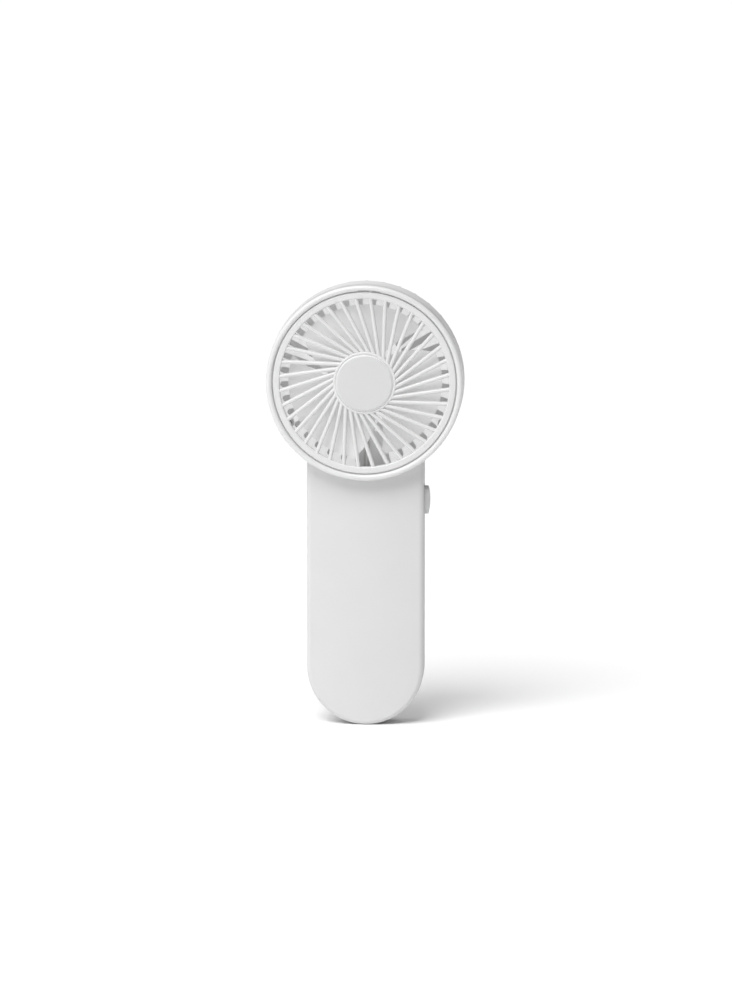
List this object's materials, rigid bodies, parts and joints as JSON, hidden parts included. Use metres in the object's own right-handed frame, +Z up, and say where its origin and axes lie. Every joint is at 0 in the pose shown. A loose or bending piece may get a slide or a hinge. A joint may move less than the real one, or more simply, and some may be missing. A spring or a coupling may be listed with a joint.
{
  "type": "handheld electric fan",
  "caption": "White handheld fan: a round grille head with a ducted rotor on a flat rechargeable grip with a round lower end and a side button.",
  "frame": {"origin": "under the grip's rounded lower end, halfway between the front and the back of the head", "axes": "+Z up along the grip towards the head, +Y to the back, +X to the side with the power button; the rotor's axis is along Y"},
  "size_m": [0.08, 0.021, 0.1817],
  "materials": {
    "grip_white": "fine matte white moulding",
    "body_white": "matte white moulding",
    "ring_white": "satin white moulding",
    "grille_white": "satin white moulding",
    "cap_grey": "satin pale grey",
    "blade_white": "satin white moulding",
    "button_grey": "satin pale grey",
    "steel": "plain steel",
    "screw_steel": "plain steel",
    "core_steel": "lamination steel",
    "port_steel": "drawn steel",
    "magnet": "bonded magnet",
    "bronze": "sintered bronze",
    "copper": "enamelled wire",
    "clip_nylon": "natural nylon",
    "black_plastic": "black moulding",
    "board_green": "solder mask",
    "lens": "cloudy clear moulding",
    "cell_wrap": "shrink film",
    "foam": "foam tape",
    "lead_white": "wire insulation"
  },
  "bodies": {
    "housing": {"front_ring": "ring_white", "head_shell": "body_white", "inlet_grille": "body_white", "rear_cover": "body_white", "thrust_washer": "clip_nylon", "sleeve_bearing": "bronze", "motor_base": "body_white", "stator_core": "core_steel", "stator_coils": "copper", "motor_board": "board_green", "motor_screws": "screw_steel", "head_screws": "screw_steel", "neck_screws": "screw_steel", "handle_front": "grip_white", "handle_rear": "grip_white", "handle_screws": "screw_steel", "tact_switch": "black_plastic", "main_board": "board_green", "board_parts": "black_plastic", "board_screws": "screw_steel", "usb_port": "port_steel", "usb_tongue": "black_plastic", "charge_led": "lens", "light_pipe": "lens", "battery_cell": "cell_wrap", "battery_pad": "foam", "battery_board": "board_green", "battery_lead": "lead_white", "motor_lead": "lead_white"},
    "rotor": {"fan_rotor": "blade_white", "rotor_yoke": "steel", "rotor_magnet": "magnet", "motor_shaft": "steel", "shaft_clip": "clip_nylon"},
    "button": {"power_button": "button_grey", "switch_plunger": "black_plastic"},
    "grille": {"front_grille": "grille_white", "grille_cap": "cap_grey"}
  },
  "joints": [
    {"name": "rotor_spin", "type": "hinge", "parent": "housing", "child": "rotor", "pos_m": [0, 0, 0.1417], "axis": [0, 1, 0], "continuous": true},
    {"name": "button_press", "type": "slide", "parent": "housing", "child": "button", "axis": [-1, 0, 0], "range_m": [0, 0.0005], "stiffness_N_per_m": 3000},
    {"name": "grille_twist", "type": "hinge", "parent": "housing", "child": "grille", "pos_m": [0, 0, 0.1417], "axis": [0, -1, 0], "range_deg": [0, 6.5]}
  ]
}
